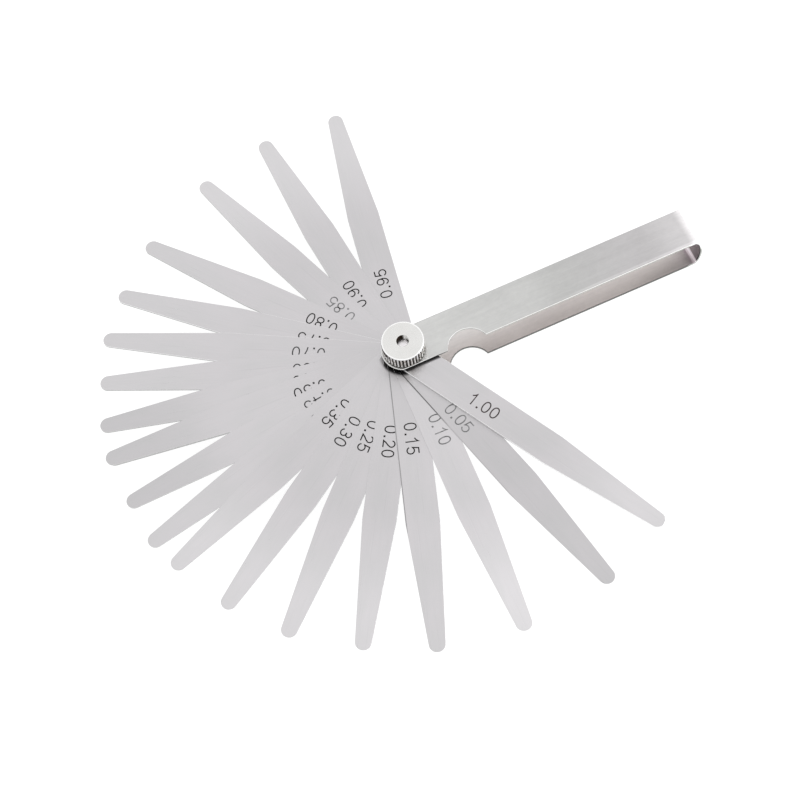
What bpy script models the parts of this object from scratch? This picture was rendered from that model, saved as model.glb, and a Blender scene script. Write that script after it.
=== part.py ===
"""Feeler gauge: twenty tapered steel leaves fanned round one clamp screw in a folded sheet case.

World frame: the origin is the centre of the screw head's flat underside, on the pivot axis.
+Z runs up the pivot to the knurled nut, and +X runs along the case to its folded end.
"""

import math

import bmesh
import bpy

MM = 0.001

# Leaves. Each is named after its thickness in hundredths of a millimetre.
LEAF_TAIL = 6.0 * MM  # pivot axis to the round hub end
LEAF_WIDTH = 10.0 * MM
TAPER_RUN = 39.0 * MM  # from the start of the taper to the tip
TIP_RADIUS = 2.4 * MM
HOLE_RADIUS = 2.1 * MM
LEAF_GAP = 0.05 * MM  # between neighbouring leaves
STACK_GAP = 0.25 * MM  # between the stack of leaves and each plate of the case

# The fan, from the bottom leaf up: thickness in hundredths of a millimetre, the leaf's direction in
# degrees anticlockwise from the case, how far its mid-line passes beside the pivot axis, and its
# reach from that axis to its tip, both in millimetres. The 55 lies hidden under the 50.
FAN = (
    (95, 81.0, 0.15, 94.0),
    (90, 95.6, 1.0, 94.15),
    (85, 110.3, 1.25, 93.7),
    (80, 128.25, -0.2, 93.6),
    (75, 139.9, 0.35, 93.8),
    (70, 149.95, -0.1, 94.35),
    (65, 158.6, 1.1, 93.6),
    (60, 168.4, -0.2, 94.4),
    (55, 175.7, -0.45, 94.4),
    (50, 175.7, -0.45, 94.8),
    (45, 185.4, -0.05, 93.95),
    (40, 194.5, -0.15, 94.95),
    (35, 201.3, -0.8, 94.35),
    (30, 213.4, -0.55, 94.25),
    (25, 224.9, 0.8, 94.1),
    (20, 239.55, -0.95, 93.15),
    (15, 252.4, -0.55, 94.0),
    (10, 267.8, -0.2, 94.35),
    (5, 284.8, -0.45, 94.75),
    (100, 298.5, -0.35, 94.0),
)

# Case: one strip of sheet steel, folded into a U.
SHEET = 0.8 * MM
CASE_WIDTH = 12.7 * MM
CASE_REACH = 96.5 * MM  # pivot axis to the outside of the fold
FOLD_DEPTH = 2.5 * MM  # the fold's middle surface is half an ellipse, this deep past the flat plates
END_RADIUS = 7.0 * MM  # rounded free ends of the strip, about the pivot
NOTCH_RADIUS = 6.5 * MM  # thumb notch in the near edge of both plates
NOTCH_X = 17.8 * MM
NOTCH_Y = -8.25 * MM
EDGE_CHAMFER = 0.1 * MM

# Clamp screw with a plain round head and a square neck, which the bottom plate keeps from turning.
SCREW_RADIUS = 2.0 * MM
HEAD_RADIUS = 4.75 * MM
HEAD_HEIGHT = 1.5 * MM
HEAD_CHAMFER = 0.35 * MM
NECK_SIDE = 4.2 * MM
NECK_HEIGHT = 1.05 * MM
SCREW_END_DEPTH = 2.2 * MM  # the screw ends this far below the nut's top face
FACE_GAP = 0.05 * MM  # between faces that are clamped together

# Round knurled nut with a plain lip above the knurl.
NUT_RADIUS = 6.5 * MM
NUT_HEIGHT = 5.2 * MM
NUT_BASE_CHAMFER = 0.4 * MM
LIP_RADIUS = 6.4 * MM
LIP_HEIGHT = 0.3 * MM
LIP_CHAMFER = 0.15 * MM
KNURL_DEPTH = 0.35 * MM
KNURL_COUNT = 38

# Heights worked out from the stack.
PLATE_UNDERSIDE = HEAD_HEIGHT + FACE_GAP
STACK_BOTTOM = PLATE_UNDERSIDE + SHEET + STACK_GAP
STACK_HEIGHT = sum(leaf[0] for leaf in FAN) * 0.01 * MM + (len(FAN) - 1) * LEAF_GAP
CASE_TOP = STACK_BOTTOM + STACK_HEIGHT + STACK_GAP + SHEET
NUT_BASE = CASE_TOP + FACE_GAP
NUT_TOP = NUT_BASE + NUT_HEIGHT

FOLD_MIDDLE = (PLATE_UNDERSIDE + CASE_TOP) / 2
FOLD_RISE = (CASE_TOP - PLATE_UNDERSIDE - SHEET) / 2
FOLD_START = CASE_REACH - SHEET / 2 - FOLD_DEPTH

ROUND_STEPS = 32
FOLD_STEPS = 12
FOLD_FINE_STEPS = 20
SHARP_ANGLE = math.radians(30)


def clear_scene():
    for old in list(bpy.data.objects):
        bpy.data.objects.remove(old, do_unlink=True)


def metal(name, colour, roughness):
    material = bpy.data.materials.new(name)
    material.use_nodes = True
    shader = material.node_tree.nodes["Principled BSDF"]
    shader.inputs["Base Color"].default_value = (*colour, 1.0)
    shader.inputs["Metallic"].default_value = 1.0
    shader.inputs["Roughness"].default_value = roughness
    return material


def arc(centre, radius, start, end, steps):
    """Points on a circular arc, both ends included; the angles are in radians."""
    turns = [start + (end - start) * step / steps for step in range(steps + 1)]
    return [(centre[0] + radius * math.cos(a), centre[1] + radius * math.sin(a)) for a in turns]


def finish(name, bm, material=None):
    """An object made from the bmesh, its round faces shaded smooth."""
    bmesh.ops.recalc_face_normals(bm, faces=bm.faces)
    mesh = bpy.data.meshes.new(name)
    bm.to_mesh(mesh)
    bm.free()
    mesh.shade_smooth()
    mesh.set_sharp_from_angle(angle=SHARP_ANGLE)
    if material:
        mesh.materials.append(material)
    made = bpy.data.objects.new(name, mesh)
    bpy.context.scene.collection.objects.link(made)
    return made


def extruded(outline, low, high):
    """A bmesh of the plane outline, extruded from one height to the other."""
    bm = bmesh.new()
    base = bm.faces.new([bm.verts.new((x, y, low)) for x, y in outline])
    grown = bmesh.ops.extrude_face_region(bm, geom=[base])["geom"]
    tops = [item for item in grown if isinstance(item, bmesh.types.BMVert)]
    bmesh.ops.translate(bm, verts=tops, vec=(0, 0, high - low))
    return bm


def stacked_rings(rings):
    """A closed bmesh skinned over rings of equally many points, bottom ring first."""
    bm = bmesh.new()
    loops = [[bm.verts.new(point) for point in ring] for ring in rings]
    for lower, upper in zip(loops, loops[1:]):
        for i in range(len(lower)):
            j = (i + 1) % len(lower)
            bm.faces.new((lower[i], lower[j], upper[j], upper[i]))
    bm.faces.new(loops[0][::-1])
    bm.faces.new(loops[-1])
    return bm


def circle_ring(radius, height, steps):
    turns = [2 * math.pi * step / steps for step in range(steps)]
    return [(radius * math.cos(a), radius * math.sin(a), height) for a in turns]


def hidden_cutter(name, bm):
    cutter = finish(name, bm)
    cutter.hide_render = True
    cutter.display_type = "WIRE"
    return cutter


def combine(target, other, operation):
    modifier = target.modifiers.new(other.name, "BOOLEAN")
    modifier.operation = operation
    modifier.solver = "EXACT"
    modifier.object = other


def leaf_outline(aside, reach):
    """Round hub end, parallel sides, long taper and round tip, for a mid-line this far aside."""
    half = LEAF_WIDTH / 2
    taper_start = reach - TAPER_RUN
    tip_centre = reach - TIP_RADIUS
    run = TAPER_RUN - TIP_RADIUS
    taper = math.atan2(half, run) - math.asin(TIP_RADIUS / math.hypot(run, half))
    tip_turn = math.pi / 2 - taper
    points = arc((half - LEAF_TAIL, aside), half, math.pi / 2, 3 * math.pi / 2, 16)
    points.append((taper_start, aside - half))
    points += arc((tip_centre, aside), TIP_RADIUS, -tip_turn, tip_turn, 12)
    points.append((taper_start, aside + half))
    return points


def make_leaves(material, pivot_bore):
    height = STACK_BOTTOM
    for hundredths, degrees, aside, reach in FAN:
        thickness = hundredths * 0.01 * MM
        outline = leaf_outline(aside * MM, reach * MM)
        leaf = finish(f"leaf_{hundredths:03d}", extruded(outline, 0, thickness), material)
        leaf.location = (0, 0, height)
        leaf.rotation_euler = (0, 0, math.radians(degrees))
        combine(leaf, pivot_bore, "DIFFERENCE")
        height += thickness + LEAF_GAP


def fold_path():
    """Upper half of the fold's middle surface, from its far point: (length so far, ellipse angle)."""
    count = FOLD_STEPS * FOLD_FINE_STEPS
    step = math.pi / 2 / count
    path = [(0.0, 0.0)]
    for i in range(count):
        turn = (i + 0.5) * step
        piece = step * math.hypot(FOLD_DEPTH * math.sin(turn), FOLD_RISE * math.cos(turn))
        path.append((path[-1][0] + piece, (i + 1) * step))
    return path


FOLD_PATH = fold_path()
FOLD_HALF = FOLD_PATH[-1][0]


def fold_turn(length):
    """The ellipse angle at a length along the fold from its far point."""
    for (near, low_turn), (far, high_turn) in zip(FOLD_PATH, FOLD_PATH[1:]):
        if length <= far:
            return low_turn + (high_turn - low_turn) * (length - near) / (far - near)
    return math.pi / 2


def strip_length():
    """Length of the folded strip's middle surface, from the pivot in one plate to the other."""
    return 2 * (FOLD_START + FOLD_HALF)


def strip_outline():
    """The flat blank: rounded free ends, and a thumb notch near each on the -Y edge."""
    half = CASE_WIDTH / 2
    end_turn = math.asin(half / END_RADIUS)
    notch_turn = math.asin((-half - NOTCH_Y) / NOTCH_RADIUS)
    length = strip_length()
    first_end = arc((0, 0), END_RADIUS, math.pi - end_turn, math.pi + end_turn, 16)
    other_end = arc((length, 0), END_RADIUS, -end_turn, end_turn, 16)
    notch = (math.pi - notch_turn, notch_turn, 20)
    near_notch = arc((NOTCH_X, NOTCH_Y), NOTCH_RADIUS, *notch)
    far_notch = arc((length - NOTCH_X, NOTCH_Y), NOTCH_RADIUS, *notch)
    return first_end + near_notch + far_notch + other_end


def fold(s, depth):
    """Where a point of the flat blank goes: its x and z, for a place along it and a depth inwards."""
    from_middle = s - strip_length() / 2
    bent = min(abs(from_middle), FOLD_HALF)
    turn = fold_turn(bent)
    out, up = FOLD_RISE * math.cos(turn), FOLD_DEPTH * math.sin(turn)
    size = math.hypot(out, up)
    run_back = abs(from_middle) - bent
    x = FOLD_START + FOLD_DEPTH * math.cos(turn) - depth * out / size - run_back
    rise = FOLD_RISE * math.sin(turn) - depth * up / size
    return x, FOLD_MIDDLE + math.copysign(rise, from_middle)


def make_case(material, pivot_bore):
    """The blank is cut flat, its edges are broken, and then it is folded round the leaves."""
    bm = extruded(strip_outline(), -SHEET / 2, SHEET / 2)
    rims = [edge for edge in bm.edges if abs(edge.verts[0].co.z - edge.verts[1].co.z) < SHEET / 2]
    bmesh.ops.bevel(bm, geom=rims, offset=EDGE_CHAMFER, segments=1, affect="EDGES")
    cuts = [length for length, _ in FOLD_PATH[::FOLD_FINE_STEPS]]
    for away in [-length for length in cuts[:0:-1]] + cuts:
        cut = (strip_length() / 2 + away, 0, 0)
        everything = bm.verts[:] + bm.edges[:] + bm.faces[:]
        bmesh.ops.bisect_plane(bm, geom=everything, plane_co=cut, plane_no=(1, 0, 0))
    for vert in bm.verts:
        vert.co.x, vert.co.z = fold(vert.co.x, vert.co.z)
    case = finish("case", bm, material)
    combine(case, pivot_bore, "DIFFERENCE")
    side = NECK_SIDE / 2 + 0.1 * MM
    square = [(-side, -side), (side, -side), (side, side), (-side, side)]
    low, high = PLATE_UNDERSIDE - SHEET, PLATE_UNDERSIDE + SHEET + STACK_GAP / 4
    combine(case, hidden_cutter("neck_hole", extruded(square, low, high)), "DIFFERENCE")


def make_screw(material):
    end = NUT_TOP - SCREW_END_DEPTH
    profile = (
        (HEAD_RADIUS - HEAD_CHAMFER, 0),
        (HEAD_RADIUS, HEAD_CHAMFER),
        (HEAD_RADIUS, HEAD_HEIGHT),
        (SCREW_RADIUS, HEAD_HEIGHT),
        (SCREW_RADIUS, end - HEAD_CHAMFER),
        (SCREW_RADIUS - HEAD_CHAMFER, end),
    )
    rings = [circle_ring(radius, height, ROUND_STEPS) for radius, height in profile]
    screw = finish("pivot_screw", stacked_rings(rings), material)
    half = NECK_SIDE / 2
    square = [(-half, -half), (half, -half), (half, half), (-half, half)]
    neck = extruded(square, HEAD_HEIGHT / 2, HEAD_HEIGHT + NECK_HEIGHT)
    combine(screw, hidden_cutter("square_neck", neck), "UNION")


def knurled_ring(height):
    """One ring of the straight knurl: each ridge and each groove is a flat of equal width."""
    points = []
    for step in range(4 * KNURL_COUNT):
        turn = 2 * math.pi * step / (4 * KNURL_COUNT)
        radius = NUT_RADIUS if step % 4 < 2 else NUT_RADIUS - KNURL_DEPTH
        points.append((radius * math.cos(turn), radius * math.sin(turn), height))
    return points


def make_nut(material, pivot_bore):
    steps = 4 * KNURL_COUNT
    knurl_top = NUT_HEIGHT - LIP_HEIGHT - KNURL_DEPTH
    rings = [
        circle_ring(NUT_RADIUS - NUT_BASE_CHAMFER - 0.1 * MM, 0, steps),
        knurled_ring(NUT_BASE_CHAMFER),
        knurled_ring(knurl_top),
        circle_ring(LIP_RADIUS, knurl_top + KNURL_DEPTH, steps),
        circle_ring(LIP_RADIUS, NUT_HEIGHT - LIP_CHAMFER, steps),
        circle_ring(LIP_RADIUS - LIP_CHAMFER, NUT_HEIGHT, steps),
    ]
    nut = finish("knurled_nut", stacked_rings(rings), material)
    nut.location = (0, 0, NUT_BASE)
    combine(nut, pivot_bore, "DIFFERENCE")


def main():
    clear_scene()
    leaf_steel = metal("leaf_steel", (0.64, 0.63, 0.65), 0.32)
    case_steel = metal("case_steel", (0.62, 0.62, 0.60), 0.36)
    nut_nickel = metal("nut_nickel", (0.80, 0.80, 0.77), 0.28)
    screw_steel = metal("screw_steel", (0.58, 0.57, 0.56), 0.35)
    bore_rings = [
        circle_ring(HOLE_RADIUS, height, ROUND_STEPS)
        for height in (STACK_BOTTOM - STACK_GAP / 2, NUT_TOP + SHEET)
    ]
    pivot_bore = hidden_cutter("pivot_bore", stacked_rings(bore_rings))
    make_leaves(leaf_steel, pivot_bore)
    make_case(case_steel, pivot_bore)
    make_screw(screw_steel)
    make_nut(nut_nickel, pivot_bore)


main()
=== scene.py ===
import math

import bmesh
import bpy
from mathutils import Matrix, Vector


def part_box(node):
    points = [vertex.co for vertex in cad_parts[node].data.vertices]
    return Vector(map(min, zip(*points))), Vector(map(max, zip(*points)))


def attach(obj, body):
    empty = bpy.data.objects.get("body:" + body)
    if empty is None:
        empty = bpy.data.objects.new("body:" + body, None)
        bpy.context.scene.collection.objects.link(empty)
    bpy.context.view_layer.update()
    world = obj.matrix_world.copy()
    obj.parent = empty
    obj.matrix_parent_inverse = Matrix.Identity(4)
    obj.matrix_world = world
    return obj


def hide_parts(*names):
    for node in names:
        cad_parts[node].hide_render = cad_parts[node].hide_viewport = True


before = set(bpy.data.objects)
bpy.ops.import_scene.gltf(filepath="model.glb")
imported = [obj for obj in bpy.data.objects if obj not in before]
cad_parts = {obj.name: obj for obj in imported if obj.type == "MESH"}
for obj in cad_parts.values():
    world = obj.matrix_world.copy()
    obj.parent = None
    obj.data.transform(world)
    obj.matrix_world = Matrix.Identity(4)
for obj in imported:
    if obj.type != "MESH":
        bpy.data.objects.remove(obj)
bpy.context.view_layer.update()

MM = 0.001
SHARP_ANGLE = math.radians(12)

# Painted reflection: how light the ground steel of a leaf is painted at the hub, beyond the numeral
# and at the tip, by sheen, standing for how each leaf's tilt catches the light.
LEAF_SHEENS = {
    "even": (0.60, 0.62, 0.64),
    "light tip": (0.62, 0.60, 0.69),
    "dull tip": (0.60, 0.63, 0.58),
    "bright": (0.64, 0.64, 0.75),
    "dull": (0.58, 0.56, 0.58),
}

# The leaves: thickness in hundredths of a millimetre; as in the CAD, the direction in degrees
# anticlockwise from the case, how far the mid-line passes beside the pivot and the reach to the tip
# (mm); then where the numeral starts along the leaf and where its baseline lies across it (mm), the
# painted reflection on the steel and which etch it has.
LEAVES = (
    (95, 81.0, 0.15, 94.0, 24.0, -1.9, "light tip", "dark"),
    (90, 95.6, 1.0, 94.15, 23.9, 0.3, "light tip", "dark"),
    (85, 110.3, 1.25, 93.7, 22.5, -0.5, "light tip", "faint"),
    (80, 128.25, -0.2, 93.6, 24.3, -2.0, "even", "dark"),
    (75, 139.9, 0.35, 93.8, 24.2, -1.45, "even", "dark"),
    (70, 149.95, -0.1, 94.35, 24.6, -1.9, "even", "mid"),
    (65, 158.6, 1.1, 93.6, 23.9, -0.8, "even", "mid"),
    (60, 168.4, -0.2, 94.4, 24.2, -2.2, "dull tip", "dark"),
    (55, 175.7, -0.45, 94.4, 24.2, -2.0, "even", "dark"),
    (50, 175.7, -0.45, 94.8, 24.9, -1.9, "dull tip", "dark"),
    (45, 185.4, -0.05, 93.95, 23.6, -2.1, "dull tip", "mid"),
    (40, 194.5, -0.15, 94.95, 24.2, -2.1, "even", "dark"),
    (35, 201.3, -0.8, 94.35, 22.3, -3.0, "light tip", "dark"),
    (30, 213.4, -0.55, 94.25, 24.9, -2.6, "light tip", "dark"),
    (25, 224.9, 0.8, 94.1, 23.7, -2.1, "light tip", "dark"),
    (20, 239.55, -0.95, 93.15, 23.9, -3.0, "light tip", "dark"),
    (15, 252.4, -0.55, 94.0, 23.0, -2.9, "even", "dark"),
    (10, 267.8, -0.2, 94.35, 22.3, -1.7, "bright", "faint"),
    (5, 284.8, -0.45, 94.75, 22.1, -3.3, "dull", "faint"),
    (100, 298.5, -0.35, 94.0, 25.0, -2.7, "light tip", "brown"),
)

# Painted shadow line just inside a leaf's right edge, where the gap beside the next leaf shades it:
# how light it is near the hub and further out.
EDGE_SHADOW_LINES = {5: (0.25, 0.88), 15: (0.50, 0.55)}

# How light the painted shadow of the case is round the hub, on the leaves it falls on.
HUB_SHADOWS = {5: 0.06, 10: 0.06, 15: 0.06, 20: 0.08, 25: 0.25, 30: 0.5}
HUB_SHADOW_INNER = 7.3 * MM
HUB_SHADOW_OUTER = 8.3 * MM

# Leaf shape, as in the CAD.
LEAF_TAIL = 6.0 * MM
LEAF_WIDTH = 10.0 * MM
TAPER_RUN = 39.0 * MM
TIP_RADIUS = 2.4 * MM
HOLE_RADIUS = 2.1 * MM
LEAF_EDGE = 0.08 * MM  # width of the broken edge on the thicker leaves
TOP_LEAF_EDGE = 0.13 * MM

# Case, as in the CAD.
SHEET = 0.8 * MM
CASE_WIDTH = 12.7 * MM
CASE_REACH = 96.5 * MM
FOLD_DEPTH = 2.5 * MM
END_RADIUS = 7.0 * MM
NOTCH_RADIUS = 6.5 * MM
NOTCH_X = 17.8 * MM
NOTCH_Y = -8.25 * MM
NECK_HOLE = 4.4 * MM
CASE_EDGE = 0.15 * MM
FOLD_STEPS = 30
FOLD_FINE_STEPS = 8

# Nut and screw: an M4 thread joins them.
NUT_RADIUS = 6.5 * MM
KNURL_DEPTH = 0.5 * MM
KNURL_COUNT = 38
KNURL_STEPS = 6
NUT_BEVEL = 0.45 * MM
LIP_RADIUS = 6.4 * MM
LIP_HEIGHT = 0.3 * MM
LIP_CHAMFER = 0.15 * MM
COUNTERSINK = 1.9 * MM
PITCH = 0.7 * MM
THREAD_ROOT = 1.68 * MM
THREAD_DEPTH = 0.32 * MM
THREAD_PLAY = 0.08 * MM
THREAD_SHOWN = 3.4 * MM  # below this the thread is out of sight
THREAD_STEP = 0.1 * MM
THREAD_END_RADIUS = 1.55 * MM  # the thread runs out to this at the end of the screw
THREAD_SHARP_ANGLE = math.radians(28)
SCREW_END_RADIUS = 1.2 * MM
SCREW_RADIUS = 2.0 * MM
HEAD_RADIUS = 4.75 * MM
HEAD_HEIGHT = 1.5 * MM
NECK_SIDE = 4.2 * MM
NECK_HEIGHT = 1.05 * MM

# Numerals: heights and widths are shares of the digit height.
DIGIT_HEIGHT = 3.85 * MM
DIGIT_STEP = 0.805
DOT_STEP = 0.40
STROKE = 0.098
ETCH_HEIGHT = 0.010 * MM

# Camera: its direction and roll in degrees, and where it stands along its own right, up and back.
CAMERA_AZIMUTH = -12.85
CAMERA_ELEVATION = 64.96
CAMERA_ROLL = -11.83
CAMERA_RIGHT = -2.516 * MM
CAMERA_UP = -9.115 * MM
CAMERA_BACK = 579.0 * MM
CAMERA_LENS = 85.12  # millimetres, on a sensor 36 mm wide
CAMERA_SENSOR = 36.0

# Floor and light: places and sizes in metres, the lamp's power in watts, the rest as strengths.
FLOOR_SIZE = 3.0
FLOOR_DROP = 0.02 * MM  # below the object, so that the two don't share a surface
FLOOR_GLOW = 0.85
HORIZON_LIGHT = 0.85
SIDE_LIGHT_SPOT = (0.9, -0.35, 0.55)
SIDE_LIGHT_SIZE = 0.7
SIDE_LIGHT_POWER = 6.0


# ---------------------------------------------------------------- materials


class Nodes:
    """Short calls for building one material's node tree."""

    def __init__(self, name, metallic=1.0, roughness=0.35):
        self.material = bpy.data.materials.new(name)
        self.material.use_nodes = True
        self.tree = self.material.node_tree
        self.shader = self.tree.nodes["Principled BSDF"]
        self.shader.inputs["Metallic"].default_value = metallic
        self.shader.inputs["Roughness"].default_value = roughness

    def join(self, source, target):
        self.tree.links.new(source, target)

    def add(self, kind, **settings):
        node = self.tree.nodes.new(kind)
        for key, value in settings.items():
            setattr(node, key, value)
        return node

    def put(self, node, name, value):
        """Sets a socket to a number, or joins another node's output to it."""
        socket = node.inputs[name]
        if isinstance(value, bpy.types.NodeSocket):
            self.join(value, socket)
        else:
            socket.default_value = value

    def place(self, turn=0.0):
        """Position on the piece, in metres, turned so that x runs along a leaf."""
        coordinates = self.add("ShaderNodeTexCoord").outputs["Object"]
        if not turn:
            return coordinates
        mapping = self.add("ShaderNodeMapping", vector_type="POINT")
        self.put(mapping, "Vector", coordinates)
        self.put(mapping, "Rotation", (0, 0, -turn))
        return mapping.outputs["Vector"]

    def stretched(self, place, scale):
        mapping = self.add("ShaderNodeMapping", vector_type="POINT")
        self.put(mapping, "Vector", place)
        self.put(mapping, "Scale", scale)
        return mapping.outputs["Vector"]

    def noise(self, vector, detail=3.0, roughness=0.55, distortion=0.0):
        node = self.add("ShaderNodeTexNoise", noise_dimensions="3D")
        self.put(node, "Vector", vector)
        self.put(node, "Scale", 1.0)
        self.put(node, "Detail", detail)
        self.put(node, "Roughness", roughness)
        self.put(node, "Distortion", distortion)
        return node.outputs[0]

    def ranged(self, value, low, high, to_low, to_high, smooth=False):
        node = self.add("ShaderNodeMapRange")
        if smooth:
            node.interpolation_type = "SMOOTHSTEP"
        self.put(node, "Value", value)
        for name, number in (
            ("From Min", low),
            ("From Max", high),
            ("To Min", to_low),
            ("To Max", to_high),
        ):
            self.put(node, name, number)
        return node.outputs["Result"]

    def math(self, operation, first, second=0.0):
        node = self.add("ShaderNodeMath", operation=operation)
        self.put(node, 0, first)
        self.put(node, 1, second)
        return node.outputs[0]

    def split(self, vector):
        node = self.add("ShaderNodeSeparateXYZ")
        self.put(node, 0, vector)
        return node.outputs

    def mix(self, share, first, second, blend="MIX"):
        node = self.add("ShaderNodeMix", data_type="RGBA", blend_type=blend)
        node.clamp_result = False
        colour_sockets = [s for s in node.inputs if s.type == "RGBA"]
        self.put(node, 0, share)
        for socket, value in zip(colour_sockets, (first, second)):
            if isinstance(value, bpy.types.NodeSocket):
                self.join(value, socket)
            else:
                socket.default_value = (*value, 1.0)
        return next(s for s in node.outputs if s.type == "RGBA")

    def scaled(self, colour, factor):
        """A colour times a number that varies over the surface."""
        node = self.add("ShaderNodeVectorMath", operation="SCALE")
        self.put(node, 0, colour)
        self.put(node, "Scale", factor)
        return node.outputs[0]

    def colour_of(self, colour):
        """A plain colour as an output, to be scaled."""
        node = self.add("ShaderNodeRGB")
        node.outputs[0].default_value = (*colour, 1.0)
        return node.outputs[0]

    def radius(self, place):
        """Distance from the pivot axis."""
        x, y, _ = self.split(place)
        squares = self.math("ADD", self.math("MULTIPLY", x, x), self.math("MULTIPLY", y, y))
        return self.math("SQRT", squares)

    def bump(self, height, strength, distance):
        node = self.add("ShaderNodeBump")
        self.put(node, "Strength", strength)
        self.put(node, "Distance", distance)
        self.put(node, "Height", height)
        self.put(self.shader, "Normal", node.outputs["Normal"])

    def colour(self, value):
        self.put(self.shader, "Base Color", value)

    def roughness(self, value):
        self.put(self.shader, "Roughness", value)


def leaf_material(hundredths, turn, aside, sheen):
    """Ground spring steel: fine lengthwise grain, faint cloudiness and a few long scratches, under
    painted reflection along the leaf, a painted shadow line by the edge on some leaves and painted
    shadows of the case round the hub.
    """
    n = Nodes(f"leaf_steel_{hundredths:03d}")
    place = n.place(turn)
    along, across, _ = n.split(place)
    grain = n.noise(n.stretched(place, (90, 9000, 90)), 4.0, 0.6)
    cloud = n.noise(n.stretched(place, (55, 110, 55)), 3.0, 0.5, 0.4)
    scratch = n.noise(n.stretched(place, (35, 2600, 35)), 2.0, 0.5)
    # Painted reflection: the lightness at hub, middle and tip stands for how each leaf's tilt
    # catches the light.
    hub, middle, tip = LEAF_SHEENS[sheen]
    tone = n.ranged(along, 50 * MM, 84 * MM, middle, tip, smooth=True)
    hub_share = n.ranged(along, 18 * MM, 40 * MM, hub / middle, 1.0, smooth=True)
    tone = n.math("MULTIPLY", tone, hub_share)
    tone = n.math("MULTIPLY", tone, n.ranged(grain, 0.3, 0.7, 0.975, 1.025))
    tone = n.math("MULTIPLY", tone, n.ranged(cloud, 0.3, 0.7, 0.97, 1.03))
    tone = n.math("MULTIPLY", tone, n.ranged(scratch, 0.68, 0.74, 1.0, 0.94))
    # Painted shadow: a dark line just inside the leaf's right edge.
    if hundredths in EDGE_SHADOW_LINES:
        side = aside - LEAF_WIDTH / 2
        off_line = n.ranged(across, side + 0.20 * MM, side + 0.36 * MM, 0.0, 1.0)
        line = n.ranged(along, 21 * MM, 28 * MM, *EDGE_SHADOW_LINES[hundredths])
        tone = n.math("MULTIPLY", tone, n.math("MAXIMUM", off_line, line))
    # Painted shadow: the case's rounded end shades the leaves round the hub.
    if hundredths in HUB_SHADOWS:
        away = n.radius(place)
        plate_shadow = n.ranged(away, HUB_SHADOW_INNER, HUB_SHADOW_OUTER, HUB_SHADOWS[hundredths], 1.0, smooth=True)
        tone = n.math("MULTIPLY", tone, plate_shadow)
    # Painted shadow: the top plate's near edge shades the top leaf beneath it.
    if hundredths == 100:
        y = n.split(n.place())[1]
        plate_shadow = n.ranged(y, -7.4 * MM, -6.6 * MM, 1.0, 0.18, smooth=True)
        tone = n.math("MULTIPLY", tone, plate_shadow)
    tint = n.mix(n.ranged(cloud, 0.35, 0.65, 0.0, 1.0), (1.0, 0.985, 1.0), (1.0, 0.972, 0.995))
    n.colour(n.scaled(tint, tone))
    n.roughness(n.ranged(n.math("ADD", grain, cloud), 0.7, 1.3, 0.27, 0.38))
    n.bump(grain, 0.25, 0.004 * MM)
    return n.material


def leaf_edge_material(name, low, high, hub):
    """Sheared edges: rougher than the faces and marked across; painted dark as shade, or light as a
    highlight on the top leaf, and painted near-black with shade at the hub.
    """
    n = Nodes(name)
    place = n.place()
    nicks = n.noise(n.stretched(place, (2500, 2500, 700)), 3.0)
    steel = n.mix(n.ranged(nicks, 0.3, 0.7, 0.0, 1.0), (low, low, low), (high, high, high))
    # Painted shade: near-black close to the hub.
    hub_shade = n.ranged(n.radius(place), hub, 1.3 * hub, 0.05, 1.0, smooth=True)
    n.colour(n.scaled(steel, hub_shade))
    n.roughness(n.ranged(nicks, 0.3, 0.7, 0.30, 0.50))
    n.bump(nicks, 0.3, 0.01 * MM)
    return n.material


def leaf_rim_material(name, low, high):
    """The broken upper edge of a leaf, painted brighter than the face as a highlight where it
    catches the light.
    """
    n = Nodes(name)
    nicks = n.noise(n.stretched(n.place(), (2500, 2500, 700)), 3.0)
    n.colour(n.mix(n.ranged(nicks, 0.3, 0.7, 0.0, 1.0), (low, low, low), (high, high, high)))
    n.roughness(n.ranged(nicks, 0.3, 0.7, 0.25, 0.40))
    n.bump(nicks, 0.3, 0.01 * MM)
    return n.material


def brushed(n, place):
    """Brushed sheet: the slow and the fine share of long streaks along the strip, both about 1."""
    fine = n.noise(n.stretched(place, (40, 8000, 40)), 4.0, 0.65)
    streak = n.noise(n.stretched(place, (22, 900, 22)), 3.0, 0.6, 0.3)
    cloud = n.noise(n.stretched(place, (45, 160, 45)), 3.0, 0.5, 0.5)
    mottle = n.noise(n.stretched(place, (500, 900, 500)), 4.0, 0.6, 0.6)
    slow = n.ranged(n.math("ADD", streak, cloud), 0.72, 1.28, 0.955, 1.045)
    n.roughness(n.ranged(n.math("ADD", fine, cloud), 0.7, 1.3, 0.30, 0.42))
    n.bump(n.math("ADD", fine, streak), 0.2, 0.006 * MM)
    tone = n.math("MULTIPLY", slow, n.ranged(fine, 0.3, 0.7, 0.975, 1.025))
    return n.math("MULTIPLY", tone, n.ranged(mottle, 0.3, 0.7, 0.965, 1.035))


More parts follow.
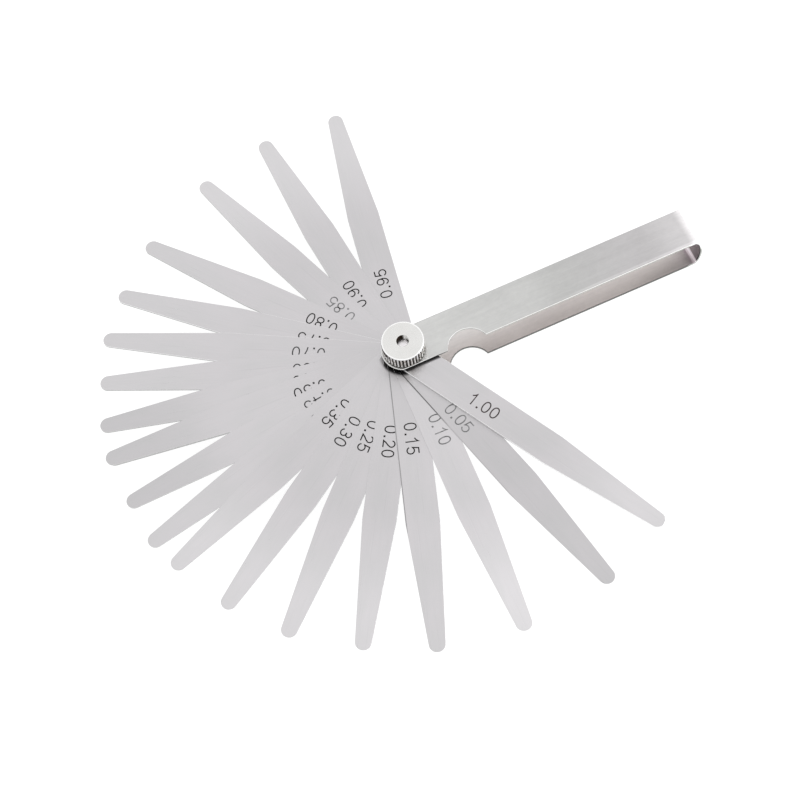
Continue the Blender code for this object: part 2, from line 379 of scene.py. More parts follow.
def case_outside_material():
    """Stainless sheet, darker half-way along, lighter towards the fold and by the near edge beyond
    the middle, with a painted highlight round the fold.
    """
    n = Nodes("case_steel_outside")
    place = n.place()
    x, y, _ = n.split(place)
    tone = n.math("MULTIPLY", brushed(n, place), n.ranged(x, 12 * MM, 32 * MM, 0.63, 0.585))
    dull = n.ranged(x, 40 * MM, 52 * MM, 1.0, 0.90, smooth=True)
    lighter_towards_fold = n.ranged(x, 78 * MM, 91 * MM, 1.0, 1.23, smooth=True)
    # Painted highlight round the fold.
    fold_highlight = n.ranged(x, 91.8 * MM, 95.0 * MM, 1.0, 1.6, smooth=True)
    for factor in (dull, lighter_towards_fold, fold_highlight):
        tone = n.math("MULTIPLY", tone, factor)
    lighter_by_near_edge = n.ranged(x, 48 * MM, 60 * MM, 1.0, 1.16, smooth=True)
    near_edge = n.ranged(y, -5.6 * MM, -4.0 * MM, 1.0, 0.0, smooth=True)
    tone = n.math("MULTIPLY", tone, n.math("MAXIMUM", 1.0, n.math("MULTIPLY", lighter_by_near_edge, near_edge)))
    far = n.ranged(x, 45 * MM, 80 * MM, 0.0, 1.0, smooth=True)
    n.colour(n.scaled(n.mix(far, (1.0, 1.0, 0.985), (1.0, 0.975, 0.985)), tone))
    return n.material


def case_inside_material():
    """The same sheet inside: warmer, darker towards the fold and by the near edge on the lower
    plate, with a painted glint before the fold, painted shade on the fold's wall and a painted dark
    outline along the wall's near edge.
    """
    n = Nodes("case_steel_inside")
    place = n.place()
    x, y, z = n.split(place)
    lower = n.ranged(z, 5 * MM, 8 * MM, 1.0, 0.0)
    edge_loss = n.ranged(y, -5.5 * MM, -1.2 * MM, 0.11, 0.0)
    deep = n.ranged(x, 64 * MM, 92 * MM, 0.0, 1.0, smooth=True)
    deep_loss = n.math("MULTIPLY", deep, n.ranged(y, -5.5 * MM, -1.2 * MM, 0.17, 0.0))
    loss = n.math("MULTIPLY", lower, n.math("ADD", edge_loss, deep_loss))
    tone = n.math("MULTIPLY", brushed(n, place), n.math("SUBTRACT", 1.0, loss))
    # Painted highlight: a glint just before the fold's wall; painted shade on the wall itself,
    # darkest near the top, and along its near edge.
    glint = n.ranged(x, 94.15 * MM, 94.45 * MM, 1.0, 1.5, smooth=True)
    wall_shade = n.ranged(z, 4 * MM, 12 * MM, 0.34, 0.14, smooth=True)
    wall = n.ranged(x, 94.65 * MM, 94.85 * MM, 1.0, wall_shade, smooth=True)
    lip = n.ranged(y, -6.2 * MM, -5.85 * MM, 0.25, 1.0, smooth=True)
    outline = n.math("MAXIMUM", lip, n.ranged(x, 94.65 * MM, 94.85 * MM, 1.0, 0.0))
    for factor in (glint, wall, outline):
        tone = n.math("MULTIPLY", tone, factor)
    mauve = n.ranged(x, 92.5 * MM, 93.5 * MM, 0.0, 1.0, smooth=True)
    n.colour(n.scaled(n.mix(mauve, (0.735, 0.702, 0.69), (0.75, 0.675, 0.71)), tone))
    return n.material


def case_cut_material():
    """Sheared edges of the sheet: grey; painted darker on the lower plate and near-black at the hub
    as shade, and painted brighter on the upper plate and round the fold as reflected light.
    """
    n = Nodes("case_steel_cut")
    place = n.place()
    x, _, z = n.split(place)
    nicks = n.noise(n.stretched(place, (1800, 1800, 500)), 3.0)
    steel = n.mix(n.ranged(nicks, 0.3, 0.7, 0.0, 1.0), (0.26, 0.265, 0.25), (0.37, 0.375, 0.36))
    # Painted shade and reflection: darker low down, brighter on the upper plate; near-black painted
    # shade at the hub; a painted highlight on the fold.
    upper = n.ranged(z, 9 * MM, 12 * MM, 0.42, 1.35)
    hub = n.ranged(x, 9 * MM, 13 * MM, 0.05, 1.0, smooth=True)
    fold = n.ranged(x, 91.0 * MM, 93.2 * MM, 1.0, 3.5, smooth=True)
    for factor in (upper, hub, fold):
        steel = n.scaled(steel, factor)
    n.colour(steel)
    n.roughness(n.ranged(nicks, 0.3, 0.7, 0.30, 0.45))
    n.bump(nicks, 0.3, 0.01 * MM)
    return n.material


def case_rim_material():
    """The top plate's broken upper edge: a painted highlight, bright at the hub and from the thumb
    notch on, dimmer between and along the far side.
    """
    n = Nodes("case_steel_rim")
    place = n.place()
    x, y, _ = n.split(place)
    nicks = n.noise(n.stretched(place, (1800, 1800, 500)), 3.0)
    # Painted highlight along the rim: brightest at the hub and past the thumb notch, dimmer on the
    # far side.
    hub = n.ranged(x, 5 * MM, 8 * MM, 0.95, 0.66, smooth=True)
    thumb = n.ranged(x, 13 * MM, 15.5 * MM, 0.0, 0.22, smooth=True)
    far = n.ranged(y, 5.6 * MM, 6.1 * MM, 1.0, 0.55)
    tone = n.math("MULTIPLY", n.math("ADD", hub, thumb), far)
    tone = n.math("MULTIPLY", tone, n.ranged(nicks, 0.3, 0.7, 0.96, 1.04))
    n.colour(n.scaled(n.colour_of((1.0, 1.0, 0.99)), tone))
    n.roughness(n.ranged(nicks, 0.3, 0.7, 0.25, 0.38))
    n.bump(nicks, 0.3, 0.01 * MM)
    return n.material


def nut_material(base, face):
    """Bright nickel over turned steel: faint turning rings, dark in the knurl's grooves, painted
    shade in the bore, under the lip and where the nut meets the case, and a painted highlight round
    the lip.
    """
    n = Nodes("nut_nickel_turned")
    place = n.place()
    x, y, z = n.split(place)
    radius = n.radius(place)
    ring_place = n.add("ShaderNodeCombineXYZ")
    n.put(ring_place, 0, n.math("MULTIPLY", radius, 2600))
    rings = n.noise(ring_place.outputs[0], 2.0, 0.5)
    cloud = n.noise(n.stretched(place, (300, 300, 300)), 3.0)
    blotch = n.noise(n.stretched(place, (1100, 1100, 900)), 2.0)
    plate = n.mix(n.ranged(cloud, 0.3, 0.7, 0.0, 1.0), (0.765, 0.76, 0.745), (0.80, 0.795, 0.78))
    plate = n.scaled(plate, n.ranged(rings, 0.3, 0.7, 0.985, 1.015))
    # Painted highlight: the lip's chamfer and everything outside the face's outer ring are painted
    # lighter.
    rim_start = LIP_RADIUS - LIP_CHAMFER - 0.3 * MM
    plate = n.scaled(plate, n.ranged(radius, rim_start, rim_start + 0.2 * MM, 1.0, 1.35))

    # Knurl: dark in the grooves below the lip, and a painted shadow where the nut meets the case.
    below_lip = n.ranged(z, face - 0.85 * MM, face - 0.60 * MM, 1.0, 0.0)
    stain = n.math("MULTIPLY", below_lip, n.ranged(radius, 5.9 * MM, 6.1 * MM, 0.0, 1.0))
    stain = n.math("MULTIPLY", stain, n.ranged(blotch, 0.46, 0.66, 0.0, 0.9))
    plate = n.mix(stain, plate, (0.50, 0.42, 0.35))
    depth_mark = n.math("ADD", radius, n.ranged(blotch, 0.3, 0.7, 0.06 * MM, -0.08 * MM))
    low_mark, high_mark = NUT_RADIUS - 0.30 * MM, NUT_RADIUS - 0.03 * MM
    groove = n.ranged(depth_mark, low_mark, high_mark, 1.0, 0.0, smooth=True)
    knurl = n.math("MULTIPLY", groove, below_lip)
    foot = n.ranged(z, base + 0.35 * MM, base + 0.75 * MM, 1.0, 0.0)
    knurl = n.math("MAXIMUM", knurl, foot)
    knurl = n.math("MULTIPLY", knurl, n.ranged(radius, 4 * MM, 5 * MM, 0.0, 1.0))

    # Bore: painted shade, darkest on the side away from the case and the light.
    away = n.math("SUBTRACT", n.math("MULTIPLY", y, 0.90), n.math("MULTIPLY", x, 0.44))
    bore = n.ranged(away, 0.7 * MM, 1.4 * MM, 0.0, 1.0, smooth=True)
    bore = n.math("MULTIPLY", bore, n.ranged(radius, 2.05 * MM, 2.2 * MM, 1.0, 0.0))
    bore = n.math("MULTIPLY", bore, n.ranged(z, face - 0.3 * MM, face - 0.02 * MM, 1.0, 0.0))

    # Painted shade under the lip, on the side opposite the case.
    lip_shade = n.ranged(x, -5.0 * MM, -5.7 * MM, 0.0, 1.0)
    lip_shade = n.math("MULTIPLY", lip_shade, n.ranged(y, -3.3 * MM, -2.3 * MM, 0.0, 1.0))
    lip_shade = n.math("MULTIPLY", lip_shade, n.ranged(z, face - 2.5 * MM, face - 2.1 * MM, 0.0, 1.0))
    lip = face - LIP_HEIGHT
    lip_shade = n.math("MULTIPLY", lip_shade, n.ranged(z, lip - 0.1 * MM, lip - 0.02 * MM, 1.0, 0.0))
    lip_shade = n.math("MULTIPLY", lip_shade, n.ranged(radius, 4 * MM, 5 * MM, 0.0, 1.0))

    groove_dark_and_shade = n.math("MAXIMUM", knurl, n.math("MAXIMUM", bore, lip_shade))
    groove_dark_and_shade = n.math("MULTIPLY", groove_dark_and_shade, n.ranged(cloud, 0.3, 0.6, 0.88, 1.0))
    n.colour(n.mix(groove_dark_and_shade, plate, (0.026, 0.018, 0.012)))
    n.roughness(n.math("ADD", n.ranged(rings, 0.3, 0.7, 0.24, 0.30), n.math("MULTIPLY", groove_dark_and_shade, 0.3)))
    n.bump(rings, 0.15, 0.004 * MM)
    return n.material


def screw_material(end):
    """Turned steel: painted lighter on its end, and darker down its thread as painted shade inside
    the nut.
    """
    n = Nodes("screw_steel_turned")
    place = n.place()
    z = n.split(place)[2]
    ring_place = n.add("ShaderNodeCombineXYZ")
    n.put(ring_place, 0, n.math("MULTIPLY", n.radius(place), 7000))
    rings = n.noise(ring_place.outputs[0], 3.0, 0.6)
    cloud = n.noise(n.stretched(place, (700, 700, 700)), 3.0)
    steel = n.mix(n.ranged(cloud, 0.3, 0.7, 0.0, 1.0), (0.66, 0.64, 0.65), (0.74, 0.72, 0.73))
    # Painted light and shade: lighter on the end, darker down the thread.
    steel = n.scaled(steel, n.ranged(z, end - 0.3 * MM, end - 0.05 * MM, 0.8, 1.4))
    n.colour(n.scaled(steel, n.ranged(rings, 0.3, 0.7, 0.94, 1.04)))
    n.roughness(n.ranged(rings, 0.3, 0.7, 0.28, 0.42))
    n.bump(rings, 0.4, 0.01 * MM)
    return n.material


def etch_material(name, dark, worn, roughness):
    """Etched and blackened mark: matt, mottled, with steel showing where it has worn."""
    n = Nodes(name, metallic=0.0, roughness=roughness)
    n.shader.inputs["Specular IOR Level"].default_value = 0.2
    place = n.place()
    fine = n.noise(n.stretched(place, (6000, 6000, 6000)), 2.0, 0.6)
    patch = n.noise(n.stretched(place, (600, 600, 600)), 2.0, 0.5)
    wear = n.ranged(n.math("ADD", fine, patch), 0.8, 1.3, 0.0, 1.0)
    n.colour(n.mix(wear, dark, worn))
    n.roughness(n.ranged(fine, 0.3, 0.7, roughness - 0.1, roughness + 0.1))
    n.bump(fine, 0.3, 0.004 * MM)
    return n.material


# ---------------------------------------------------------------- shapes


def arc(centre, radius, start, end, steps):
    """Points on a circular arc, both ends included; the angles are in radians."""
    turns = [start + (end - start) * step / steps for step in range(steps + 1)]
    return [(centre[0] + radius * math.cos(a), centre[1] + radius * math.sin(a)) for a in turns]


def circle(radius, steps):
    turns = [2 * math.pi * step / steps for step in range(steps)]
    return [(radius * math.cos(a), radius * math.sin(a)) for a in turns]


def offset_points(points, distance, closed=True):
    """The line moved to its left by the distance, with mitred corners."""
    count = len(points)
    moved = []
    for i in range(count):
        before = points[i - 1] if closed or i else None
        after = points[(i + 1) % count] if closed or i + 1 < count else None
        here = Vector(points[i])
        ways = []
        if before is not None:
            ways.append((here - Vector(before)).normalized())
        if after is not None:
            ways.append((Vector(after) - here).normalized())
        normals = [Vector((-way.y, way.x)) for way in ways]
        middle = sum(normals, Vector((0, 0))).normalized()
        reach = distance / max(0.35, middle.dot(normals[0]))
        moved.append(tuple(here + middle * reach))
    return moved


def wall(bm, lower, upper):
    """Quads between two loops of equally many corners."""
    for i in range(len(lower)):
        j = (i + 1) % len(lower)
        bm.faces.new((lower[i], lower[j], upper[j], upper[i]))


def loop_edges(bm, loop):
    return [bm.edges.get((loop[i], loop[(i + 1) % len(loop)])) for i in range(len(loop))]


def slab(outline, holes, low, high, rim):
    """A closed flat slab with holes; its outer rims are rounded in two facets. Anticlockwise."""
    bm = bmesh.new()
    levels = (
        (low, rim),
        (low + 0.3 * rim, 0.3 * rim),
        (low + rim, 0),
        (high - rim, 0),
        (high - 0.3 * rim, 0.3 * rim),
        (high, rim),
    )
    loops = []
    for height, inset in levels:
        ring = offset_points(outline, inset) if inset else outline
        loops.append([bm.verts.new((x, y, height)) for x, y in ring])
    for lower, upper in zip(loops, loops[1:]):
        wall(bm, lower, upper)
    flats = [loops[0]], [loops[-1]]
    for hole in holes:
        ends = [[bm.verts.new((x, y, height)) for x, y in hole] for height in (low, high)]
        wall(bm, *ends)
        for flat, end in zip(flats, ends):
            flat.append(end)
    for flat in flats:
        edges = [edge for loop in flat for edge in loop_edges(bm, loop)]
        bmesh.ops.triangle_fill(bm, use_beauty=True, use_dissolve=False, edges=edges)
    bmesh.ops.recalc_face_normals(bm, faces=bm.faces)
    return bm


def new_piece(name, bm, materials, sharp=SHARP_ANGLE):
    bmesh.ops.recalc_face_normals(bm, faces=bm.faces)
    mesh = bpy.data.meshes.new(name)
    bm.to_mesh(mesh)
    bm.free()
    mesh.shade_smooth()
    mesh.set_sharp_from_angle(angle=sharp)
    for material in materials:
        mesh.materials.append(material)
    made = bpy.data.objects.new(name, mesh)
    bpy.context.scene.collection.objects.link(made)
    return made


def leaf_outline(aside, reach):
    half = LEAF_WIDTH / 2
    taper_start = reach - TAPER_RUN
    tip_centre = reach - TIP_RADIUS
    run = TAPER_RUN - TIP_RADIUS
    taper = math.atan2(half, run) - math.asin(TIP_RADIUS / math.hypot(run, half))
    tip_turn = math.pi / 2 - taper
    points = arc((half - LEAF_TAIL, aside), half, math.pi / 2, 3 * math.pi / 2, 40)
    points.append((taper_start, aside - half))
    points += arc((tip_centre, aside), TIP_RADIUS, -tip_turn, tip_turn, 36)
    points.append((taper_start, aside + half))
    return points


def make_blade(hundredths, turn, aside, reach, faces, edges, rims):
    """One leaf with broken edges, standing for its CAD node."""
    node = f"leaf_{hundredths:03d}"
    low, high = (corner.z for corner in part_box(node))
    rim = TOP_LEAF_EDGE if hundredths == 100 else min(LEAF_EDGE, 0.2 * (high - low))
    bm = slab(leaf_outline(aside, reach), [circle(HOLE_RADIUS, 48)], low, high, rim)
    for face in bm.faces:
        up = face.normal.z
        face.material_index = 0 if abs(up) > 0.99 else 2 if up > 0.2 else 1
    bmesh.ops.rotate(bm, verts=bm.verts, cent=(0, 0, 0), matrix=Matrix.Rotation(turn, 3, "Z"))
    blade = new_piece(f"blade_{hundredths:03d}", bm, (faces, edges, rims))
    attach(blade, node)
    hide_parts(node)
    return blade


# ---------------------------------------------------------------- numerals


def ellipse(cx, cy, rx, ry, start, end, steps):
    """Points on an ellipse between two angles in degrees, both included."""
    points = []
    for step in range(steps + 1):
        a = math.radians(start + (end - start) * step / steps)
        points.append((cx + rx * math.cos(a), cy + ry * math.sin(a)))
    return points


def digit_strokes(digit):
    """Centre lines of a digit of height 1, as (points, closed) pairs."""
    low, high = STROKE / 2, 1 - STROKE / 2
    mid_x, half = 0.40, 0.27
    if digit == "0":
        ring = []
        for step in range(48):
            a = 2 * math.pi * step / 48
            c, s = math.cos(a), math.sin(a)
            x = mid_x + half * math.copysign(abs(c) ** 0.86, c)
            y = 0.5 + (high - 0.5) * math.copysign(abs(s) ** 0.94, s)
            ring.append((x, y))
        return [(ring, True)]
    if digit == "1":
        return [([(0.17, 0.72), (0.30, 0.80), (0.40, 0.90), (0.45, 0.985), (0.45, 0.0)], False)]
    if digit == "2":
        bowl = ellipse(mid_x, 0.70, half - 0.01, high - 0.70, 172, -25, 22)
        return [(bowl + [(0.50, 0.42), (0.30, 0.245), (0.145, low), (0.70, low)], False)]
    if digit == "3":
        upper = ellipse(0.385, 0.735, 0.235, high - 0.735, 165, -90, 22)
        lower = ellipse(0.385, 0.30, 0.275, 0.30 - low, 90, -160, 24)
        return [(upper + [(0.31, 0.535)], False), (lower, False)]
    if digit == "4":
        return [
            ([(0.545, 0.0), (0.545, 0.93), (0.085, 0.295), (0.72, 0.295)], False),
        ]
    if digit == "5":
        bowl = ellipse(0.385, 0.33, 0.275, 0.33 - low, 128, -160, 26)
        return [([(0.655, high), (0.215, high), (0.145, 0.50)] + bowl, False)]
    if digit in "69":
        bowl = ellipse(mid_x + 0.005, 0.325, half - 0.01, 0.325 - low, 0, 360, 30)[:-1]
        tail = ellipse(mid_x + 0.03, 0.50, half + 0.03, high - 0.50, 35, 180, 18)
        tail.append((mid_x + 0.005 - (half - 0.01), 0.36))
        strokes = [(bowl, True), (tail, False)]
        if digit == "6":
            return strokes
        turned = lambda line: [(2 * mid_x - x, 1 - y) for x, y in line]
        return [(turned(line), closed) for line, closed in strokes]
    if digit == "7":
        return [([(0.12, high), (0.675, high), (0.47, 0.62), (0.35, 0.30), (0.30, 0.0)], False)]
    if digit == "8":
        upper = ellipse(mid_x, 0.735, 0.225, high - 0.735, 0, 360, 28)[:-1]
        lower = ellipse(mid_x, 0.285, half, 0.285 - low, 0, 360, 30)[:-1]
        return [(upper, True), (lower, True)]
    raise ValueError(f"no strokes for {digit!r}")


def ribbon(bm, points, closed, width, low, high):
    """A closed solid along the line: a flat stroke of the given width."""
    sides = [offset_points(points, side * width / 2, closed) for side in (1, -1)]
    left, right = (
        [[bm.verts.new((x, y, z)) for x, y in line] for z in (low, high)] for line in sides
    )
    count = len(points)
    for i in range(count if closed else count - 1):
        j = (i + 1) % count
        bm.faces.new((left[1][i], left[1][j], right[1][j], right[1][i]))
        bm.faces.new((left[0][i], right[0][i], right[0][j], left[0][j]))
        bm.faces.new((left[0][i], left[0][j], left[1][j], left[1][i]))
        bm.faces.new((right[0][i], right[1][i], right[1][j], right[0][j]))
    if not closed:
        for i in (0, count - 1):
            bm.faces.new((left[0][i], left[1][i], right[1][i], right[0][i]))


def make_numeral(hundredths, turn, start, baseline, material):
    """The leaf's thickness in millimetres, etched on its upper face."""
    node = f"leaf_{hundredths:03d}"
    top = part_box(node)[1].z
    bm = bmesh.new()
    low, high = top - ETCH_HEIGHT, top + ETCH_HEIGHT
    pen = 0.0
    for mark in f"{hundredths / 100:.2f}":
        if mark == ".":
            side = 0.075
            centre = pen + DOT_STEP / 2
            strokes = [([(centre, 0.0), (centre, 2 * side)], False)]
            width = 2 * side
        else:
            strokes = digit_strokes(mark)
            width = STROKE
        for points, closed in strokes:
            shift = pen if mark != "." else 0.0
            line = [((x + shift) * DIGIT_HEIGHT, y * DIGIT_HEIGHT) for x, y in points]
            ribbon(bm, line, closed, width * DIGIT_HEIGHT, low, high)
        pen += DOT_STEP if mark == "." else DIGIT_STEP
    bmesh.ops.translate(bm, verts=bm.verts, vec=(start * MM, baseline * MM, 0))
    bmesh.ops.rotate(bm, verts=bm.verts, cent=(0, 0, 0), matrix=Matrix.Rotation(turn, 3, "Z"))
    numeral = new_piece(f"numeral_{hundredths:03d}", bm, (material,))
    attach(numeral, node)


# ---------------------------------------------------------------- case


class Fold:
    """Where points of the flat blank go: the fold's middle surface is half an ellipse."""

    def __init__(self, low, high):
        self.middle = (low + high) / 2
        self.rise = (high - low - SHEET) / 2
        self.start = CASE_REACH - SHEET / 2 - FOLD_DEPTH
        count = FOLD_STEPS * FOLD_FINE_STEPS
        step = math.pi / 2 / count
        self.path = [(0.0, 0.0)]
        for i in range(count):
            turn = (i + 0.5) * step
            piece = step * math.hypot(FOLD_DEPTH * math.sin(turn), self.rise * math.cos(turn))
            self.path.append((self.path[-1][0] + piece, (i + 1) * step))
        self.half = self.path[-1][0]
        self.length = 2 * (self.start + self.half)

    def cuts(self):
        """Places along the blank where it is divided for bending."""
        away = [length for length, _ in self.path[::FOLD_FINE_STEPS]]
        return [self.length / 2 + a for a in [-a for a in away[:0:-1]] + away]

    def turn(self, length):
        """The ellipse angle at a length along the fold from its far point."""
        for (near, low_turn), (far, high_turn) in zip(self.path, self.path[1:]):
            if length <= far:
                return low_turn + (high_turn - low_turn) * (length - near) / (far - near)
        return math.pi / 2

    def place(self, s, depth):
        """The x and z of a point of the blank, for a place along it and a depth inwards."""
        from_middle = s - self.length / 2
        bent = min(abs(from_middle), self.half)
        turn = self.turn(bent)
        out, up = self.rise * math.cos(turn), FOLD_DEPTH * math.sin(turn)
        size = math.hypot(out, up)
        run_back = abs(from_middle) - bent
        x = self.start + FOLD_DEPTH * math.cos(turn) - depth * out / size - run_back
        rise = self.rise * math.sin(turn) - depth * up / size
        return x, self.middle + math.copysign(rise, from_middle)


def strip_outline(length):
    """The flat blank, anticlockwise: two thumb notches on the -Y side, rounded free ends."""
    half = CASE_WIDTH / 2
    end_turn = math.asin(half / END_RADIUS)
    notch_turn = math.asin((-half - NOTCH_Y) / NOTCH_RADIUS)
    first_end = arc((0, 0), END_RADIUS, math.pi - end_turn, math.pi + end_turn, 40)
    other_end = arc((length, 0), END_RADIUS, -end_turn, end_turn, 40)
    notch = (math.pi - notch_turn, notch_turn, 44)
    near_notch = arc((NOTCH_X, NOTCH_Y), NOTCH_RADIUS, *notch)
    far_notch = arc((length - NOTCH_X, NOTCH_Y), NOTCH_RADIUS, *notch)
    return first_end + near_notch + far_notch + other_end


def make_case(outer, inner, cut, rim):
    """The strip is cut flat, then folded round the leaves. It stands for the CAD case."""
    fold = Fold(*(corner.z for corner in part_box("case")))
    length = fold.length
    square = NECK_HOLE / 2
    neck = [(-square, -square), (square, -square), (square, square), (-square, square)]
    bore = [(x + length, y) for x, y in circle(HOLE_RADIUS, 48)]
    bm = slab(strip_outline(length), [neck, bore], -SHEET / 2, SHEET / 2, CASE_EDGE)
    for face in bm.faces:
        up = face.normal.z
        face.material_index = 1 if up > 0.99 else 0 if up < -0.99 else 2
        if 0.2 < abs(up) < 0.99:
            face.material_index = 3 if up < 0 else 1
    for cut_at in fold.cuts():
        everything = bm.verts[:] + bm.edges[:] + bm.faces[:]
        bmesh.ops.bisect_plane(bm, geom=everything, plane_co=(cut_at, 0, 0), plane_no=(1, 0, 0))
    bm.normal_update()
    lower_end = length / 2 - fold.half
    for face in bm.faces:
        if 0.2 < face.normal.z < 0.99 and face.calc_center_median().x < lower_end:
            face.material_index = 2
    for vert in bm.verts:
        vert.co.x, vert.co.z = fold.place(vert.co.x, vert.co.z)
    sheet = new_piece("case_sheet", bm, (outer, inner, cut, rim))
    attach(sheet, "case")
    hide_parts("case")


# ---------------------------------------------------------------- nut and screw


def turned_piece(rings, closed=True):
    """A skin over rings of points. It closes on itself like a tube wall, or is capped."""
    bm = bmesh.new()
    loops = [[bm.verts.new(point) for point in ring] for ring in rings]
    for lower, upper in zip(loops, loops[1:]):
        wall(bm, lower, upper)
    if closed:
        wall(bm, loops[-1], loops[0])
    else:
        bm.faces.new(loops[0][::-1])
        bm.faces.new(loops[-1])
    return bm


def thread_share(turn, height):
    """0 at the thread's root and 1 at its crest, for a right-hand screw."""
    phase = (height / PITCH - turn / (2 * math.pi)) % 1.0
    return min(1.0, max(0.0, 1.3 * (1 - abs(2 * phase - 1)) - 0.15))


def knurl_radius(turn):
    """A flat crest and a rounded V groove for each tooth."""
    share = (turn * KNURL_COUNT / (2 * math.pi)) % 1.0
    away = abs(2 * share - 1)
    drop = min(1.0, max(0.0, (away - 0.30) / 0.70))
    return NUT_RADIUS - KNURL_DEPTH * drop


def make_nut(material):
    low, high = (corner.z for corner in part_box("knurled_nut"))
    columns = KNURL_COUNT * KNURL_STEPS
    turns = [2 * math.pi * step / columns for step in range(columns)]

    def ring(radius_at, height):
        return [(radius_at(t) * math.cos(t), radius_at(t) * math.sin(t), height) for t in turns]

    def knurled(limit, height):
        return ring(lambda t: min(limit, knurl_radius(t)), height)

    def plain(radius, height):
        return ring(lambda t: radius, height)

    knurl_top = high - LIP_HEIGHT - KNURL_DEPTH
    bevel_steps = 6
    rings = []
    for step in range(bevel_steps + 1):
        share = step / bevel_steps
        rings.append(knurled(NUT_RADIUS - 0.5 * MM * (1 - share), low + NUT_BEVEL * share))
    rings.append(knurled(NUT_RADIUS, knurl_top))
    rings.append(plain(LIP_RADIUS, high - LIP_HEIGHT))
    for step in range(bevel_steps + 1):
        turn = math.pi / 2 * step / bevel_steps
        inset = LIP_CHAMFER * (1 - math.cos(turn))
        rings.append(plain(LIP_RADIUS - inset, high - LIP_CHAMFER * (1 - math.sin(turn))))
    for radius in (5.6 * MM, 4.2 * MM, COUNTERSINK + 0.05 * MM, COUNTERSINK):
        rings.append(plain(radius, high))
    rows = round(THREAD_SHOWN / THREAD_STEP)
    for row in range(1, rows + 1):
        height = high - row * THREAD_STEP
        limit = COUNTERSINK - row * THREAD_STEP

        def bore(t, height=height, limit=limit):
            depth = THREAD_DEPTH * thread_share(t, height)
            return max(limit, THREAD_ROOT + THREAD_PLAY + depth)

        rings.append(ring(bore, height))
    clearance = THREAD_ROOT + THREAD_PLAY + THREAD_DEPTH
    rings.append(plain(clearance, high - THREAD_SHOWN - THREAD_STEP))
    rings.append(plain(clearance, low))
    nut = new_piece("nut_body", turned_piece(rings), (material,), math.radians(28))
    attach(nut, "knurled_nut")
    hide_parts("knurled_nut")


def make_screw(material):
    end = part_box("pivot_screw")[1].z
    columns = 96
    turns = [2 * math.pi * step / columns for step in range(columns)]

    def ring(radius_at, height):
        return [(radius_at(t) * math.cos(t), radius_at(t) * math.sin(t), height) for t in turns]

    def square(t):
        return min(NECK_SIDE / 2 / max(abs(math.cos(t)), abs(math.sin(t))), NECK_SIDE * 0.68)

    rings = []
    corner = 0.35 * MM
    for step in range(6):
        a = math.pi / 2 * step / 5
        radius = HEAD_RADIUS - corner * (1 - math.sin(a))
        rings.append(ring(lambda t, radius=radius: radius, corner * (1 - math.cos(a))))
    rings.append(ring(lambda t: HEAD_RADIUS, HEAD_HEIGHT - 0.1 * MM))
    rings.append(ring(lambda t: HEAD_RADIUS - 0.1 * MM, HEAD_HEIGHT))
    rings.append(ring(square, HEAD_HEIGHT))
    rings.append(ring(square, HEAD_HEIGHT + NECK_HEIGHT))
    rings.append(ring(lambda t: SCREW_RADIUS, HEAD_HEIGHT + NECK_HEIGHT))
    rings.append(ring(lambda t: SCREW_RADIUS, end - THREAD_SHOWN - THREAD_STEP))
    rows = round(THREAD_SHOWN / THREAD_STEP)
    for row in range(rows + 1):
        height = end - THREAD_SHOWN + row * THREAD_STEP
        limit = THREAD_END_RADIUS + (end - height)

        def thread(t, height=height, limit=limit):
            return min(limit, THREAD_ROOT + THREAD_DEPTH * thread_share(t, height))

        rings.append(ring(thread, height))
    rings.append(ring(lambda t: SCREW_END_RADIUS, end))
    body = turned_piece(rings, closed=False)
    screw = new_piece("screw_body", body, (material,), THREAD_SHARP_ANGLE)
    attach(screw, "pivot_screw")
    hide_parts("pivot_screw")


# ---------------------------------------------------------------- studio


def make_floor():
    bm = bmesh.new()
    bmesh.ops.create_grid(bm, x_segments=2, y_segments=2, size=FLOOR_SIZE)
    n = Nodes("floor_white", metallic=0.0, roughness=0.9)
    n.put(n.shader, "Base Color", (0.25, 0.25, 0.25, 1.0))
    n.put(n.shader, "Emission Color", (1.0, 1.0, 1.0, 1.0))
    n.put(n.shader, "Emission Strength", FLOOR_GLOW)
    floor = new_piece("floor", bm, (n.material,))
    floor.location.z = -FLOOR_DROP


def make_world():
    """Soft light from everywhere, a little weaker near the horizon."""
    world = bpy.data.worlds.new("studio")
    bpy.context.scene.world = world
    world.use_nodes = True
    tree = world.node_tree
    background = tree.nodes["Background"]
    direction = tree.nodes.new("ShaderNodeTexCoord").outputs["Generated"]
    split = tree.nodes.new("ShaderNodeSeparateXYZ")
    tree.links.new(direction, split.inputs[0])
    strength = tree.nodes.new("ShaderNodeMapRange")
    strength.interpolation_type = "SMOOTHSTEP"
    strength.inputs["From Min"].default_value = 0.1
    strength.inputs["From Max"].default_value = 0.75
    strength.inputs["To Min"].default_value = HORIZON_LIGHT
    strength.inputs["To Max"].default_value = 1.0
    tree.links.new(split.outputs[2], strength.inputs["Value"])
    tree.links.new(strength.outputs[0], background.inputs["Strength"])
    background.inputs["Color"].default_value = (1.0, 1.0, 1.0, 1.0)


def make_light(name, spot, size, power):
    data = bpy.data.lights.new(name, "AREA")
    data.shape = "DISK"
    data.size = size
    data.energy = power
    light = bpy.data.objects.new(name, data)
    light.location = spot
    light.rotation_mode = "QUATERNION"
    light.rotation_quaternion = Vector(spot).to_track_quat("Z", "Y")
    bpy.context.scene.collection.objects.link(light)


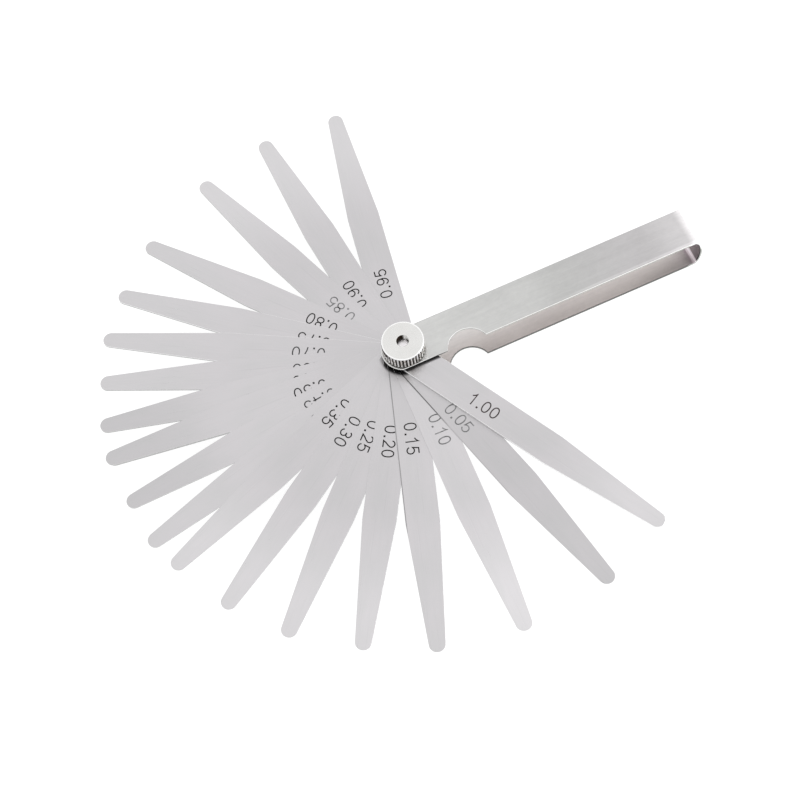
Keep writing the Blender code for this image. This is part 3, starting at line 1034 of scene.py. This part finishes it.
def make_camera():
    azimuth = math.radians(CAMERA_AZIMUTH)
    elevation = math.radians(CAMERA_ELEVATION)
    roll = math.radians(CAMERA_ROLL)
    level = math.cos(elevation)
    back = Vector((math.sin(azimuth) * level, -math.cos(azimuth) * level, math.sin(elevation)))
    side = Vector((math.cos(azimuth), math.sin(azimuth), 0))
    over = back.cross(side)
    right = side * math.cos(roll) + over * math.sin(roll)
    up = over * math.cos(roll) - side * math.sin(roll)
    data = bpy.data.cameras.new("camera")
    data.sensor_width = CAMERA_SENSOR
    data.lens = CAMERA_LENS
    data.clip_start = 0.01
    camera = bpy.data.objects.new("camera", data)
    spot = right * CAMERA_RIGHT + up * CAMERA_UP + back * CAMERA_BACK
    axes = Matrix((right, up, back)).transposed()
    camera.matrix_world = Matrix.Translation(spot) @ axes.to_4x4()
    bpy.context.scene.collection.objects.link(camera)
    bpy.context.scene.camera = camera


def main():
    # Painted shade on the sheared edges of most leaves, a painted highlight on the top leaf's.
    edges = leaf_edge_material("leaf_edge_painted_shade", 0.34, 0.50, 9 * MM)
    highlit_edges = leaf_edge_material("leaf_edge_painted_highlight", 0.80, 0.95, 5 * MM)
    # Painted highlight on the broken upper edges, brighter on the 0.70, 0.75 and 1.00 leaves.
    rims = leaf_rim_material("leaf_rim_steel", 0.60, 0.72)
    highlit_rims = leaf_rim_material("leaf_rim_painted_highlight", 0.88, 1.0)
    etches = {
        "dark": etch_material("etch_dark", (0.004, 0.003, 0.003), (0.014, 0.012, 0.012), 0.6),
        "brown": etch_material("etch_brown", (0.018, 0.012, 0.012), (0.07, 0.052, 0.052), 0.6),
        "mid": etch_material("etch_mid", (0.025, 0.025, 0.026), (0.09, 0.09, 0.092), 0.6),
        "faint": etch_material("etch_faint", (0.09, 0.09, 0.092), (0.30, 0.30, 0.305), 0.55),
    }
    for hundredths, degrees, aside, reach, start, baseline, sheen, etch in LEAVES:
        turn = math.radians(degrees)
        faces = leaf_material(hundredths, turn, aside * MM, sheen)
        edge = highlit_edges if hundredths == 100 else edges
        rim = highlit_rims if hundredths in (70, 75, 100) else rims
        make_blade(hundredths, turn, aside * MM, reach * MM, faces, edge, rim)
        make_numeral(hundredths, turn, start, baseline, etches[etch])
    make_case(
        case_outside_material(),
        case_inside_material(),
        case_cut_material(),
        case_rim_material(),
    )
    make_nut(nut_material(*(corner.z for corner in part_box("knurled_nut"))))
    make_screw(screw_material(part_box("pivot_screw")[1].z))
    make_floor()
    make_world()
    make_light("soft_right", SIDE_LIGHT_SPOT, SIDE_LIGHT_SIZE, SIDE_LIGHT_POWER)
    make_camera()
    bpy.context.scene.view_settings.view_transform = "Standard"


main()
